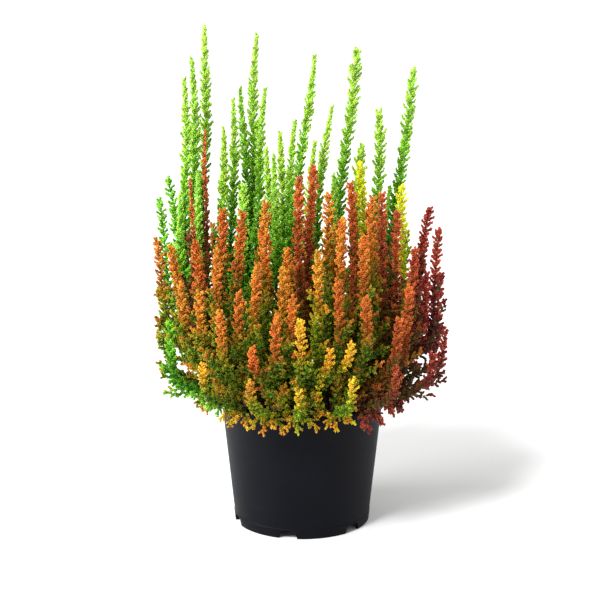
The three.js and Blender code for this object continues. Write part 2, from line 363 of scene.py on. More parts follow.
foliage = {name: makeFoliage(f"{name}_foliage", **runs) for name, runs in foliageColours.items()}


barkLook = {
    "grain": {"Fine Scale": 700.0, "Broad Scale": 90.0},
    "colours": [(0.3, (0.035, 0.016, 0.008)), (0.7, (0.14, 0.07, 0.03))],
    "bump": {"distance": 0.0003, "strength": 0.8},
    "roughness": 0.85,
    "specular": 0.5,
}
bark = makeGrained("bark", barkLook)
print("foliage materials done")


# Routes of the stems
lanes = {
    "rootShare": 0.4,
    "flarePower": 2.4,
    "upright": {"start": 120, "heightMiddle": 130, "heightEdge": 70, "edge": 127},
    "overRim": {"start": 119, "heightMiddle": 38, "heightEdge": 38, "edge": 127},
    "outwardLean": 0.04,
    "leanLength": 150,
    "waveSize": 1.5,
    "waveLength": 26,
    "waveRise": 60,
    "step": 4,
    "foot": 97,
    "fork": 124,
    "forkLength": 60,
}


def onLane(spike, height, flare, phase):
    tipX, tipY, tipZ, lean = spike
    z = max(height, flare["start"])
    below = lanes["leanLength"] * math.tanh((tipZ - z) / lanes["leanLength"]) / 100
    edgeShare = min(math.hypot(tipX, tipY) / flare["edge"], 1) ** 2
    flareHeight = mix(flare["heightMiddle"], flare["heightEdge"], edgeShare)
    t = min((z - flare["start"]) / flareHeight, 1)
    share = lanes["rootShare"] + (1 - lanes["rootShare"]) * (1 - (1 - t) ** lanes["flarePower"])
    wave = lanes["waveSize"] * smooth((z - flare["start"]) / lanes["waveRise"])
    x = (tipX - lean * below) * share + wave * math.sin(z / lanes["waveLength"] + phase)
    y = tipY * (1 - lanes["outwardLean"] * below) * share
    return Vector((x, y + wave * math.cos(z / lanes["waveLength"] + 2 * phase), height))


def spikeRoute(spike, main, flare, number):
    isMain = spike is main
    foot = lanes["foot"] if isMain else lanes["fork"]
    count = math.ceil((spike[2] - foot) / lanes["step"])
    route = []
    for i in range(count + 1):
        z = mix(foot, spike[2], i / count)
        own = onLane(spike, z, flare, number)
        if not isMain:
            share = smooth((z - lanes["fork"]) / lanes["forkLength"])
            own = onLane(main, z, flare, number).lerp(own, share)
        route.append(own)
    return route


# Sprigs leave the stem by a knee and a bow, each set back from the sprig's reach; their heights vary
sprigForm = {
    "kneeBack": 11,
    "kneeTurn": 0.35,
    "kneeRise": 4,
    "bowBack": 5,
    "tipTurn": 1.1,
    "varied": 4,
    "variedTurn": 132,
    "points": 16,
}


def sprigRoute(main, flare, sprig, number):
    start = onLane(main, lanes["fork"] + 1, flare, number)
    angle = math.atan2(start.y, start.x)
    turn = math.radians(sprig["turn"])
    rise = sprigForm["varied"] * math.sin(math.radians(sprigForm["variedTurn"]) * number)

    def around(radius, share, z):
        direction = angle + share * turn
        return Vector((radius * math.cos(direction), radius * math.sin(direction), z))

    knee = around(
        sprig["reach"] - sprigForm["kneeBack"],
        sprigForm["kneeTurn"],
        lanes["fork"] + sprigForm["kneeRise"],
    )
    bow = around(sprig["reach"] - sprigForm["bowBack"], 1, sprig["bend"] + rise / 2)
    end = around(sprig["reach"], sprigForm["tipTurn"], sprig["tip"] + rise)
    return geometry.interpolate_bezier(start, knee, bow, end, sprigForm["points"])


def measure(route):
    # distance along the route at each of its points
    distances = [0]
    for a, b in zip(route, route[1:]):
        distances.append(distances[-1] + (b - a).length)
    return distances


def walk(route, distances, distance):
    # the point at a distance along the route, and the way it runs there
    i = 1
    while i < len(route) - 1 and distances[i] < distance:
        i += 1
    share = (distance - distances[i - 1]) / (distances[i] - distances[i - 1])
    ahead = route[min(i + 1, len(route) - 1)] - route[max(i - 2, 0)]
    return route[i - 1].lerp(route[i], min(share, 1)), ahead.normalized()


# Side shoots: short twigs packed with scale leaves, each leaf a face raised to a point
shootForm = {
    "variants": 4,
    "row": 1.6,
    "rowsMost": 4,
    "rodRadius": 0.95,
    "rodTipShare": 0.9,
    "leafOut": 0.95,
    "leafForward": 1.1,
    "tip": 1.0,
    "curl": 0.03,
    "leafSizes": (0.75, 1.25),
    "leafTipShare": 0.85,
    "tipTint": 0.8,
    "leafTint": 0.55,
}


def newLeafyMesh():
    # every mesh of leaves or stem carries the same marks for its colours
    bm = bmesh.new()
    floats = bm.verts.layers.float
    return bm, {mark: floats.new(mark) for mark in ("point", "reach", "ripeness", "warmth", "tint")}


def makeSideShoot(rows, sides, seed):
    draw = random.Random(seed)
    length = rows * shootForm["row"]
    bm, marks = newLeafyMesh()
    bmesh.ops.create_cone(
        bm,
        cap_ends=True,
        segments=sides,
        radius1=shootForm["rodRadius"],
        radius2=shootForm["rodRadius"] * shootForm["rodTipShare"],
        depth=length,
        matrix=Matrix.Translation((0, 0, length / 2)),
    )
    for row in range(1, rows):
        height = row * shootForm["row"]
        everything = bm.verts[:] + bm.edges[:] + bm.faces[:]
        bmesh.ops.bisect_plane(bm, geom=everything, plane_co=(0, 0, height), plane_no=(0, 0, 1))
    for vert in bm.verts:
        turn = Matrix.Rotation(vert.co.z / shootForm["row"] * math.pi / sides, 3, "Z")
        vert.co = turn @ vert.co
    top = [face for face in bm.faces if face.normal.z > 0.9]
    leaves = [face for face in bm.faces if abs(face.normal.z) < 0.9]
    bmesh.ops.triangulate(bm, faces=[face for face in bm.faces if face.normal.z < -0.9])
    for vert in bmesh.ops.poke(bm, faces=leaves)["verts"]:
        outward = Vector((vert.co.x, vert.co.y, 0)).normalized()
        size = draw.uniform(*shootForm["leafSizes"]) * mix(1, shootForm["leafTipShare"], vert.co.z / length)
        vert.co += outward * shootForm["leafOut"] * size
        vert.co.z += shootForm["leafForward"] * size
        vert[marks["point"]] = 1
        vert[marks["tint"]] = draw.random()
    for vert in bmesh.ops.poke(bm, faces=top)["verts"]:
        vert.co.z += shootForm["tip"]
        vert[marks["point"]] = 1
        vert[marks["tint"]] = shootForm["tipTint"]
    for vert in bm.verts:
        vert[marks["reach"]] = min(vert.co.z / length, 1)
        vert.co.x += shootForm["curl"] * vert.co.z**2
    mesh = bpy.data.meshes.new("side shoot")
    bm.to_mesh(mesh)
    bm.free()
    return mesh


def makeShoots(sides, firstSeed):
    # some variants of each length, by its rows of leaves
    return {
        rows: [makeSideShoot(rows, sides, firstSeed + 10 * rows + i) for i in range(shootForm["variants"])]
        for rows in range(1, shootForm["rowsMost"] + 1)
    }


fullShoots = makeShoots(4, 0)
plainShoots = makeShoots(3, 90)
print("side shoots done")


# Habits of the side shoots: their reach in mm and their slope, each near the tip and lower down;
# the length over which they grow; how far apart they stand; and the size of their leaves
habits = {
    "tall": {"reach": (3.2, 7.4), "grow": 62, "spacing": 1.38, "size": 1.2, "slope": (34, 52)},
    "broad": {"reach": (5.0, 8.2), "grow": 26, "spacing": 1.4, "size": 1.25, "slope": (34, 54)},
    "bushy": {"reach": (4.4, 5.8), "grow": 12, "spacing": 1.28, "size": 1.25, "slope": (38, 62)},
    "thin": {"reach": (2.2, 3.6), "grow": 40, "spacing": 1.9, "size": 1, "slope": (32, 48)},
    "low": {"reach": (4.2, 6.2), "grow": 14, "spacing": 1.5, "size": 1.18, "slope": (38, 60)},
    "sprig": {"reach": (3.6, 5.8), "grow": 12, "spacing": 2.1, "size": 1.2, "slope": (40, 60)},
    "branch": {"reach": (3.6, 5.6), "grow": 10, "spacing": 2.7, "size": 1.28, "slope": (38, 58)},
}
coarsening = {"size": 1.4, "spacing": 2.2}
dressing = {
    "reachVaried": (0.8, 1.2),
    "spacingVaried": (0.8, 1.2),
    "slopeVaried": 7,
    "turnVaried": 0.3,
    "warmthVaried": 0.25,
    "stretch": (0.85, 1.15),
    "leafBeyond": 1.6,
    "youth": 0.16,
    "tipShootBelow": 4.6,
    "tipShootSize": 0.9,
    "tipShootLeft": 3,
}
boxMargin = 0.6
boxLow = [corner / mm + boxMargin for corner in cadLow]
boxHigh = [corner / mm - boxMargin for corner in cadHigh]


def insideBox(point):
    return all(low <= value <= high for low, value, high in zip(boxLow, point, boxHigh))


def addShoot(bm, marks, template, start, direction, upwards, size, colour):
    side = (upwards - direction * upwards.dot(direction)).normalized()
    third = direction.cross(side)
    turn = Matrix((side, third, direction)).transposed().to_4x4()
    place = Matrix.Translation(start) @ turn @ Matrix.Scale(size, 4)
    first = len(bm.verts)
    bm.from_mesh(template)
    bm.verts.ensure_lookup_table()
    for vert in bm.verts[first:]:
        vert.co = place @ vert.co
        vert[marks["ripeness"]] = colour["ripeness"] + colour["youth"] * vert[marks["reach"]]
        vert[marks["warmth"]] = colour["warmth"]
        vert[marks["tint"]] = mix(colour["tint"], vert[marks["tint"]], shootForm["leafTint"])


def dressRoute(bm, marks, route, habit, draw, start, ripenessAt, warmth, sparseBelow=0):
    # side shoots in a spiral up the stem, shorter and steeper towards the tip; few and large where hidden
    plain = habit is habits["branch"] or habit is habits["sprig"]
    row = shootForm["row"] * habit["size"]
    distances = measure(route)
    length = distances[-1]
    distance = start
    turn = draw.uniform(0, math.tau)
    while distance < length - 1:
        place, along = walk(route, distances, distance)
        left = length - distance
        age = smooth(left / habit["grow"])
        across = along.orthogonal().normalized()
        outward = Matrix.Rotation(turn, 3, along) @ across
        varied = draw.uniform(-dressing["slopeVaried"], dressing["slopeVaried"])
        slope = math.radians(mix(*habit["slope"], age) + varied)
        direction = along * math.cos(slope) + outward * math.sin(slope)
        hidden = place.z < sparseBelow
        scale = habit["size"] * (coarsening["size"] if hidden else 1)
        wanted = mix(*habit["reach"], age) * draw.uniform(*dressing["reachVaried"])
        rows = min(max(round(wanted / row), 1), shootForm["rowsMost"])
        while rows > 0:
            reach = rows * row + dressing["leafBeyond"]
            if insideBox(place + direction * reach * scale / habit["size"]):
                break
            rows -= 1
        if rows > 0:
            templates = plainShoots[rows] if hidden or plain else plainShoots[rows] + fullShoots[rows]
            template = draw.choice(templates)
            shortest, longest = dressing["stretch"]
            size = min(max(wanted / (rows * row), shortest), longest) * scale
            warmer = draw.uniform(-dressing["warmthVaried"], dressing["warmthVaried"])
            colour = {
                "ripeness": ripenessAt(left),
                "youth": dressing["youth"],
                "warmth": min(max(warmth + warmer, 0), 1),
                "tint": draw.random(),
            }
            addShoot(bm, marks, template, place, direction, along, size, colour)
        step = habit["spacing"] * draw.uniform(*dressing["spacingVaried"])
        distance += step * (coarsening["spacing"] if hidden else 1)
        turn += goldenTurn + draw.uniform(-dressing["turnVaried"], dressing["turnVaried"])
    place, along = walk(route, distances, length - dressing["tipShootBelow"])
    colour = {
        "ripeness": ripenessAt(dressing["tipShootLeft"]),
        "youth": dressing["youth"],
        "warmth": warmth,
        "tint": draw.random(),
    }
    template = fullShoots[2][0]
    addShoot(bm, marks, template, place, along, along.orthogonal(), dressing["tipShootSize"], colour)


# Stems: woody at the foot, thin at the tip
stemForm = {
    "foot": 1.35,
    "tip": 0.35,
    "step": 12,
    "thinOver": 260,
    "woodyFrom": 0.9,
    "shortBy": 1,
    "spike": 2.4,
    "branch": 8,
    "sprig": 12,
    "tint": 0.4,
    "shade": 0.3,
}


def addStem(bm, route, thickness, colour, sides=5):
    distances = measure(route)
    length = distances[-1] - stemForm["shortBy"]
    count = max(math.ceil(length / stemForm["step"]), 3)
    stem, marks = newLeafyMesh()
    bmesh.ops.create_circle(stem, cap_ends=True, segments=sides, radius=1)
    last = Matrix.Identity(4)
    for i in range(count + 1):
        place, along = walk(route, distances, length * i / count)
        radius = max(thickness * (length * (1 - i / count)) / stemForm["thinOver"], stemForm["tip"])
        radius = min(radius, stemForm["foot"])
        turn = Vector((0, 0, 1)).rotation_difference(along).to_matrix().to_4x4()
        here = Matrix.Translation(place) @ turn @ Matrix.Diagonal((radius, radius, 1, 1))
        move = here @ last.inverted()
        if i > 0:
            ended = bmesh.ops.extrude_face_region(stem, geom=[end])
            end = [part for part in ended["geom"] if isinstance(part, bmesh.types.BMFace)][0]
            moved = end.verts
        else:
            stem.faces.ensure_lookup_table()
            end = stem.faces[0]
            moved = stem.verts
        for vert in moved:
            vert.co = move @ vert.co
            vert[marks["point"]] = radius
            vert[marks["ripeness"]] = colour["ripeness"]
            vert[marks["warmth"]] = colour["warmth"]
            vert[marks["tint"]] = stemForm["tint"]
        last = here
    bmesh.ops.recalc_face_normals(stem, faces=stem.faces)
    woody = {vert for vert in stem.verts if vert[marks["point"]] > stemForm["woodyFrom"]}
    for face in stem.faces:
        face.material_index = int(all(vert in woody for vert in face.verts))
    # stems keep part of the painted shade that darkens the leaf bases
    for vert in stem.verts:
        vert[marks["point"]] = stemForm["shade"]
    mesh = bpy.data.meshes.new("stem")
    stem.to_mesh(mesh)
    stem.free()
    bm.from_mesh(mesh)
    bpy.data.meshes.remove(mesh)


# Sprays: a colour, a habit, a warmth, and for each spike its tip's x, y and z and its lean to +x per 100 mm
uprightSprays = [
    ("green", "tall", 0.43, [(-88, 60, 458, 3), (-100, 45, 428, 0), (-107, 25, 413, 0)]),
    ("green", "tall", 0.42, [(-63, 45, 390, 2), (-73, 28, 367, 0)]),
    ("green", "tall", 0.34, [(-42, 70, 447, 4), (-56, 66, 397, -4)]),
    ("green", "tall", 0.56, [(-33, 48, 400, 9), (-19, 40, 360, 0)]),
    ("green", "tall", 0.50, [(-6, 10, 376, 6), (-24, -5, 349, 0), (-31, 14, 350, -3)]),
    ("green", "tall", 0.38, [(11, 50, 430, 13), (26, 20, 388, 13), (12, 3, 360, 8)]),
    ("green", "broad", 0.36, [(52, 60, 434, 14), (54, 26, 350, 5)]),
    ("green", "broad", 0.45, [(104, 50, 416, 16), (70, 30, 382, 0)]),
    ("green", "tall", 0.05, [(-113, 8, 309, -5), (-96, 4, 330, 0)]),
    ("green", "tall", 0.15, [(28, -6, 330, 4)]),
    ("green", "tall", 0.09, [(-60, 92, 300, -4), (-38, 98, 275, 0)]),
    ("green", "tall", 0.05, [(-12, 92, 315, 0), (8, 104, 285, 2)]),
    ("green", "tall", 0.05, [(34, 96, 305, 4), (56, 94, 325, 8)]),
    ("green", "tall", 0.11, [(84, 80, 300, 8), (76, 96, 262, 6)]),
    ("green", "tall", 0.05, [(-98, 80, 296, -6), (-114, 62, 262, -8)]),
    ("green", "bushy", 0.43, [(-54, -12, 322, 0)]),
    ("red", "bushy", 0.14, [(112, 26, 262, 10), (108, 50, 238, 8)]),
    ("orange", "bushy", 0.40, [(-86, 86, 262, -6), (-70, 100, 232, -4)]),
    ("orange", "bushy", 0.27, [(52, 110, 240, 4), (34, 116, 214, 2)]),
    ("red", "bushy", 0.45, [(-18, 116, 246, -2), (4, 120, 222, 0)]),
    ("red", "bushy", 0.45, [(9, -20, 341, 3), (-4, -35, 334, -3)]),
    ("orange", "bushy", 0.31, [(22, -37, 319, -2), (33, -25, 292, 2)]),
    ("gold", "bushy", 0.00, [(53, -4, 339, -3)]),
    ("red", "bushy", 0.42, [(45, -22, 326, -1), (62, -12, 300, 2)]),
    ("gold", "bushy", 0.00, [(92, -2, 319, 0)]),
    ("red", "bushy", 0.24, [(73, -33, 318, 0), (87, -28, 300, 4)]),
    ("orange", "bushy", 0.54, [(37, -60, 300, 2), (62, -47, 319, -3), (56, -66, 287, 0)]),
    ("orange", "bushy", 0.40, [(-34, -26, 310, 0)]),
    ("orange", "bushy", 0.27, [(-55, -50, 304, 5), (-73, -27, 302, 0)]),
    ("red", "thin", 0.45, [(-87, 12, 368, 2), (-100, -20, 330, 0)]),
    ("orange", "bushy", 0.44, [(-34, -56, 297, 0), (-14, -56, 272, 0)]),
    ("orange", "bushy", 0.31, [(-94, -55, 280, -4), (-110, -52, 240, -6), (-118, -30, 269, -12)]),
    ("red", "bushy", 0.09, [(118, 5, 296, 19), (126, -15, 281, 10)]),
    ("red", "bushy", 0.13, [(103, -43, 270, 8), (115, -28, 244, 10)]),
    ("orange", "bushy", 0.35, [(-76, -80, 279, -2), (-90, -74, 238, -4), (-71, -99, 226, -2)]),
    ("orange", "bushy", 0.22, [(-41, -84, 265, 2), (-56, -82, 240, 0)]),
    ("orange", "bushy", 0.54, [(13, -80, 276, -1), (-18, -79, 260, 2), (-9, -94, 238, 2)]),
    ("orange", "bushy", 0.40, [(-24, -104, 223, 1), (-45, -107, 196, -3)]),
    ("gold", "bushy", 0.93, [(-2, -110, 222, 3), (24, -105, 194, 3), (42, -99, 197, 5)]),
    ("orange", "bushy", 0.13, [(58, -84, 236, 2), (34, -82, 250, 2)]),
    ("red", "bushy", 0.46, [(88, -74, 213, 8), (98, -58, 238, 8)]),
]

# Sprays that lean out over the rim, all of the low habit
rimSprays = [
    ("gold", 0.86, [(-3, -127, 163, 0)]),
    ("gold", 0.82, [(46, -119, 172, 8)]),
    ("red", 0.22, [(86, -92, 174, 10)]),
    ("red", 0.17, [(118, -58, 176, 12)]),
    ("red", 0.13, [(129, -36, 192, 12)]),
    ("red", 0.23, [(130, 12, 232, 10)]),
    ("red", 0.19, [(112, 64, 206, 8)]),
    ("green", 0.29, [(78, 100, 196, 6)]),
    ("green", 0.20, [(34, 119, 205, 2)]),
    ("green", 0.41, [(-14, 121, 184, 0)]),
    ("orange", 0.62, [(-54, 114, 210, -4)]),
    ("green", 0.23, [(-83, 99, 192, -6)]),
    ("green", 0.08, [(-126, 50, 315, -18), (-133, 22, 301, -14)]),
    ("orange", 0.65, [(-134, -18, 273, -14), (-127, -6, 226, -10)]),
    ("green", 0.12, [(-120, -50, 205, -10)]),
    ("gold", 0.98, [(-88, -94, 178, -6)]),
    ("orange", 0.68, [(-46, -118, 168, -4)]),
]

# Short sprigs that each rim spray carries: turn in degrees, reach, and heights of bend and tip
sprigs = [
    {"turn": -6, "reach": 98, "bend": 122, "tip": 117},
    {"turn": 5, "reach": 100, "bend": 124, "tip": 121},
    {"turn": 10.5, "reach": 94, "bend": 142, "tip": 162},
    {"turn": -11, "reach": 92, "bend": 134, "tip": 148},
    {"turn": -1, "reach": 95, "bend": 119, "tip": 112},
    {"turn": 9, "reach": 93, "bend": 120, "tip": 114},
    {"turn": 1, "reach": 88, "bend": 136, "tip": 156},
    {"turn": -8, "reach": 84, "bend": 124, "tip": 133},
    {"turn": 4, "reach": 82, "bend": 126, "tip": 140},
    {"turn": 13, "reach": 85, "bend": 122, "tip": 128},
    {"turn": -3, "reach": 87, "bend": 119, "tip": 125},
]

# Branches: short leafy shoots that fill the plant between its spikes
branching = {
    "from": 126,
    "stopBelowTip": 50,
    "highest": 272,
    "gap": 12.5,
    "gapHidden": 26,
    "gapVaried": (0.8, 1.2),
    "longest": 34,
    "shortest": 16,
    "least": 8,
    "shortenOver": 130,
    "lengthVaried": (0.8, 1.15),
    "shorter": 0.85,
    "knee": 0.4,
    "bow": 0.6,
    "bowRise": 0.15,
    "tipRise": 0.45,
    "leafyTip": (0.55, 0.5, 4),  # shares of the length ahead and up, and mm outwards
    "points": 8,
    "slope": 42,
    "slopeVaried": 8,
    "pulledOutFrom": 45,
    "pulledOut": 0.8,
    "leafFrom": 4,
    "tint": (-0.1, 0.15),
    "youth": (0.15, 0.55),
    "youngOver": 16,
}
# Heights from which shoots are leafy, and from which they are dense; the edge is dense all the way down
leafFrom = {"low": 126, "upright": 138}
denseFrom = {"tall": 225, "broad": 215, "bushy": 180, "thin": 215, "low": 122}
edgeZone = {"from": 60, "to": 105}
# overRim lowers the highest ripeness of the sprays over the rim, which darkens them: painted shade
ripening = {
    "green": {"share": 0.55, "shareWarm": 0.55, "low": 0.24, "high": 0.86, "overRim": 0.68, "varied": 0.2},
    "orange": {"share": 0.47, "shareWarm": 0.47, "low": 0.16, "high": 0.90, "overRim": 0.84, "varied": 0.35},
    "red": {"share": 0.75, "shareWarm": 0.65, "low": 0.22, "high": 0.88, "overRim": 0.86, "varied": 0.2},
    "gold": {"share": 0.9, "shareWarm": 0.46, "low": 0.20, "high": 0.95, "overRim": 0.82, "varied": 0.1},
}
spikeRipening = {"fadeTo": 110, "start": 1.15, "highVaried": 0.08, "stem": 0.4, "oldest": 200}
sprigRipening = {
    "least": 0.1,
    "youth": (0.1, 0.5),
    "start": 1.1,
    "youngOver": 22,
    "warmthVaried": 0.3,
    "leafFrom": 10,
}


# Each of these gives a shoot's ripeness by its distance in mm from the tip
def spikeRipeness(low, high, fade):
    return lambda left: mix(low, high, smooth(spikeRipening["start"] - left / fade))


def branchRipeness(base, tint, youth):
    return lambda left: base + tint + youth * smooth(1 - left / branching["youngOver"])


def sprigRipeness(base, youth):
    return lambda left: base + youth * smooth(sprigRipening["start"] - left / sprigRipening["youngOver"])


def branchRoute(place, along, outward, draw):
    # as long as its height allows, and shorter where it would leave the box
    varied = draw.uniform(-branching["slopeVaried"], branching["slopeVaried"])
    slope = math.radians(branching["slope"] + varied)
    share = (place.z - branching["from"]) / branching["shortenOver"]
    size = mix(branching["longest"], branching["shortest"], share)
    size *= draw.uniform(*branching["lengthVaried"])
    heading = along * math.cos(slope) + outward * math.sin(slope)
    ahead, up, out = branching["leafyTip"]
    while size > branching["least"]:
        if insideBox(place + heading * size * ahead + along * size * up + outward * out):
            break
        size *= branching["shorter"]
    knee = place + heading * size * branching["knee"]
    bow = place + heading * size * branching["bow"] + along * size * branching["bowRise"]
    end = place + heading * size * branching["bow"] + along * size * branching["tipRise"]
    return geometry.interpolate_bezier(place, knee, bow, end, branching["points"])


def addBranches(bm, marks, route, spike, draw, ripenessAt, warmth, sparseBelow):
    distances = measure(route)
    top = min(spike[2] - branching["stopBelowTip"], branching["highest"])
    turn = draw.uniform(0, math.tau)
    distance = 0
    while distance < distances[-1]:
        place, along = walk(route, distances, distance)
        gap = branching["gapHidden" if place.z < sparseBelow else "gap"]
        distance += gap * draw.uniform(*branching["gapVaried"])
        if place.z < branching["from"] or place.z > top:
            continue
        turn += goldenTurn
        radius = math.hypot(place.x, place.y)
        outward = Matrix.Rotation(turn, 3, along) @ along.orthogonal().normalized()
        if radius > branching["pulledOutFrom"]:
            away = Vector((place.x, place.y, 0)) / radius
            outward = (outward + away * branching["pulledOut"]).normalized()
        branch = branchRoute(place, along, outward, draw)
        base = ripenessAt(spikeRipening["oldest"])
        addStem(bm, branch, stemForm["branch"], {"ripeness": base, "warmth": warmth}, 3)
        tint = draw.uniform(*branching["tint"])
        ripe = branchRipeness(base, tint, draw.uniform(*branching["youth"]))
        leafy = branching["leafFrom"]
        dressRoute(bm, marks, branch, habits["branch"], draw, leafy, ripe, warmth, sparseBelow)


def addSprigs(bm, marks, spike, flare, number, tone, draw, sprayWarmth):
    varied = sprigRipening["warmthVaried"]
    for sprig in sprigs:
        route = sprigRoute(spike, flare, sprig, number)
        warmth = min(max(sprayWarmth + draw.uniform(-varied, varied), 0), 1)
        ripe = sprigRipeness(tone["low"] + sprigRipening["least"], draw.uniform(*sprigRipening["youth"]))
        addStem(bm, route, stemForm["sprig"], {"ripeness": tone["low"], "warmth": warmth})
        dressRoute(bm, marks, route, habits["sprig"], draw, sprigRipening["leafFrom"], ripe, warmth)


def makeSpray(name, number, colour, kind, sprayWarmth, spikes, flare):
    draw = random.Random(number)
    bm, marks = newLeafyMesh()
    low = flare is lanes["overRim"]
    tone = ripening[colour]
    for spike in spikes:
        tipX, tipY, tipZ = spike[:3]
        route = spikeRoute(spike, spikes[0], flare, number)
        fromMiddle = math.hypot(tipX, tipY) - edgeZone["from"]
        edgeShare = smooth(fromMiddle / (edgeZone["to"] - edgeZone["from"]))
        sparseBelow = mix(denseFrom[kind], denseFrom["low"], edgeShare)
        fade = mix(tone["share"], tone["shareWarm"], sprayWarmth) * (tipZ - spikeRipening["fadeTo"])
        # sprays over the rim ripen less and so come out darker: painted shade on the low sprays
        high = tone["high"] * (tone["overRim"] if low else 1)
        high += draw.uniform(-spikeRipening["highVaried"], spikeRipening["highVaried"])
        warmth = min(max(sprayWarmth + draw.uniform(-1, 1) * tone["varied"], 0), 1)
        ripenessAt = spikeRipeness(tone["low"], high, fade)
        stemTone = mix(tone["low"], high, spikeRipening["stem"])
        addStem(bm, route, stemForm["spike"], {"ripeness": stemTone, "warmth": warmth})
        bareTo = leafFrom["low" if low or edgeShare > 0.5 else "upright"]
        start = next(d for d, point in zip(measure(route), route) if point.z >= bareTo)
        dressRoute(bm, marks, route, habits[kind], draw, start, ripenessAt, warmth, sparseBelow)
        addBranches(bm, marks, route, spike, draw, ripenessAt, warmth, sparseBelow)
    if low:
        addSprigs(bm, marks, spikes[0], flare, number, tone, draw, sprayWarmth)
    piece = newObject(f"{name}_foliage", finishedMesh(bm, name))
    piece.data.materials.append(foliage[colour])
    piece.data.materials.append(bark)
    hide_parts(name)
    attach(piece, "root")
    return len(piece.data.polygons)


numbers = {}
faces = 0
sprays = [(*spray, lanes["upright"], "spray") for spray in uprightSprays]
for colour, warmth, spikes in rimSprays:
    sprays.append((colour, "low", warmth, spikes, lanes["overRim"], "rim_spray"))
for number, (colour, kind, warmth, spikes, flare, place) in enumerate(sprays):
    numbers[colour, place] = numbers.get((colour, place), 0) + 1
    name = f"{colour}_{place}_{numbers[colour, place]:02d}"
    faces += makeSpray(name, number, colour, kind, warmth, spikes, flare)
print("sprays done,", faces, "faces")


# Pot
pot = {
    "height": 122,
    "footRadius": 62.4,
    "rimRadius": 75.5,
    "wall": 1.5,
    "lipRadius": 77.5,
    "lipDepth": 9,
    "lipUndercut": 0.3,
    "lipSlope": 1.2,
    "rounding": 0.35,
    "ringHeight": 9,
    "ringFlare": 0.4,
    "ringThickness": 2.4,
    "baseHeight": 8,
    "baseThickness": 1.6,
    "segments": 144,
    "notches": 6,
    "notchWidth": 13.5,
    "notchSplay": 1.6,
    "notchHeight": 7.6,
    "notchDepth": 16,
    "notchRound": 2.5,
    "notchTurn": -12,
    "drainRadius": 4.5,
    "drainCircle": 42,
    "drainDepth": 8,
    "drainSegments": 20,
    "sharpFrom": 35,
    "grain": {"Fine Scale": 1500.0, "Broad Scale": 24.0, "Broad Share": 0.6},
    "colours": [(0.3, (0.0015, 0.0017, 0.0032)), (0.75, (0.0038, 0.0043, 0.0072))],
    "bump": {"distance": 0.00012, "strength": 0.35},
    "roughness": (0.35, 0.32),
    "specular": 0.075,
}


def wallRadius(height):
    return mix(pot["footRadius"], pot["rimRadius"], height / pot["height"])


def lathe(bm, profile, segments, rounding):
    verts = [bm.verts.new((radius, 0, height)) for radius, height in profile]
    for pair in zip(verts, verts[1:]):
        bm.edges.new(pair)
    bmesh.ops.bevel(
        bm,
        geom=verts[1:-1],
        offset=rounding,
        offset_type="OFFSET",
        affect="VERTICES",
        segments=3,
        profile=0.5,
        material=-1,
    )
    bmesh.ops.spin(
        bm,
        geom=bm.verts[:] + bm.edges[:],
        cent=(0, 0, 0),
        axis=(0, 0, 1),
        angle=math.tau,
        steps=segments,
        use_merge=True,
    )
    bmesh.ops.remove_doubles(bm, verts=bm.verts, dist=0.001)
    bmesh.ops.recalc_face_normals(bm, faces=bm.faces)


def cutAway(piece, cutter):
    cutter.hide_render = True
    cut = piece.modifiers.new("cut", "BOOLEAN")
    cut.object = cutter
    cut.solver = "EXACT"
    depsgraph = bpy.context.evaluated_depsgraph_get()
    mesh = bpy.data.meshes.new_from_object(piece.evaluated_get(depsgraph))
    piece.modifiers.clear()
    old = piece.data
    piece.data = mesh
    bpy.data.meshes.remove(old)
    bpy.data.objects.remove(cutter)


def makePot():
    lipFoot = pot["height"] - pot["lipDepth"]
    floor = pot["baseHeight"] + pot["baseThickness"]
    footOut = wallRadius(0) + pot["ringFlare"]
    ringOut = wallRadius(pot["ringHeight"]) + pot["ringFlare"]
    profile = [
        (0, pot["baseHeight"]),
        (ringOut - pot["ringThickness"], pot["baseHeight"]),
        (footOut - pot["ringThickness"], 0),
        (footOut, 0),
        (ringOut, pot["ringHeight"]),
        (wallRadius(pot["ringHeight"] + pot["ringFlare"]), pot["ringHeight"] + pot["ringFlare"]),
        (wallRadius(lipFoot), lipFoot),
        (pot["lipRadius"] - pot["lipUndercut"], lipFoot),
        (pot["lipRadius"], lipFoot + pot["lipSlope"]),
        (pot["lipRadius"], pot["height"]),
        (pot["rimRadius"] - pot["wall"], pot["height"]),
        (wallRadius(floor) - pot["wall"], floor),
        (0, floor),
    ]
    bm = bmesh.new()
    lathe(bm, profile, pot["segments"], pot["rounding"])
    piece = newObject("nursery_pot", finishedMesh(bm, "nursery pot"))

    cutters = bmesh.new()
    for i in range(pot["notches"]):
        turn = Matrix.Rotation(math.radians(pot["notchTurn"] + 360 * i / pot["notches"]), 4, "Z")
        size = Matrix.Diagonal((pot["notchWidth"], pot["notchDepth"], 2 * pot["notchHeight"], 1))
        block = bmesh.ops.create_cube(cutters, size=1, matrix=size)
        for vert in block["verts"]:
            vert.co.x *= pot["notchSplay"] if vert.co.z < 0 else 1
        bmesh.ops.transform(cutters, matrix=turn @ Matrix.Translation((0, -footOut, 0)), verts=block["verts"])
        topVerts = {vert for vert in block["verts"] if vert.co.z > 1}
        topCorners = [
            edge
            for edge in cutters.edges
            if set(edge.verts) <= topVerts and abs(edge.calc_length() - pot["notchDepth"]) < 0.5
        ]
        bmesh.ops.bevel(
            cutters,
            geom=topCorners,
            offset=pot["notchRound"],
            offset_type="OFFSET",
            affect="EDGES",
            segments=4,
            profile=0.5,
            material=-1,
        )
        bmesh.ops.create_cone(
            cutters,
            cap_ends=True,
            segments=pot["drainSegments"],
            radius1=pot["drainRadius"],
            radius2=pot["drainRadius"],
            depth=pot["drainDepth"],
            matrix=turn @ Matrix.Translation((0, -pot["drainCircle"], pot["baseHeight"])),
        )
    cutAway(piece, newObject("cutters", finishedMesh(cutters, "cutters")))
    piece.data.shade_smooth()
    piece.data.set_sharp_from_angle(angle=math.radians(pot["sharpFrom"]))
    return piece


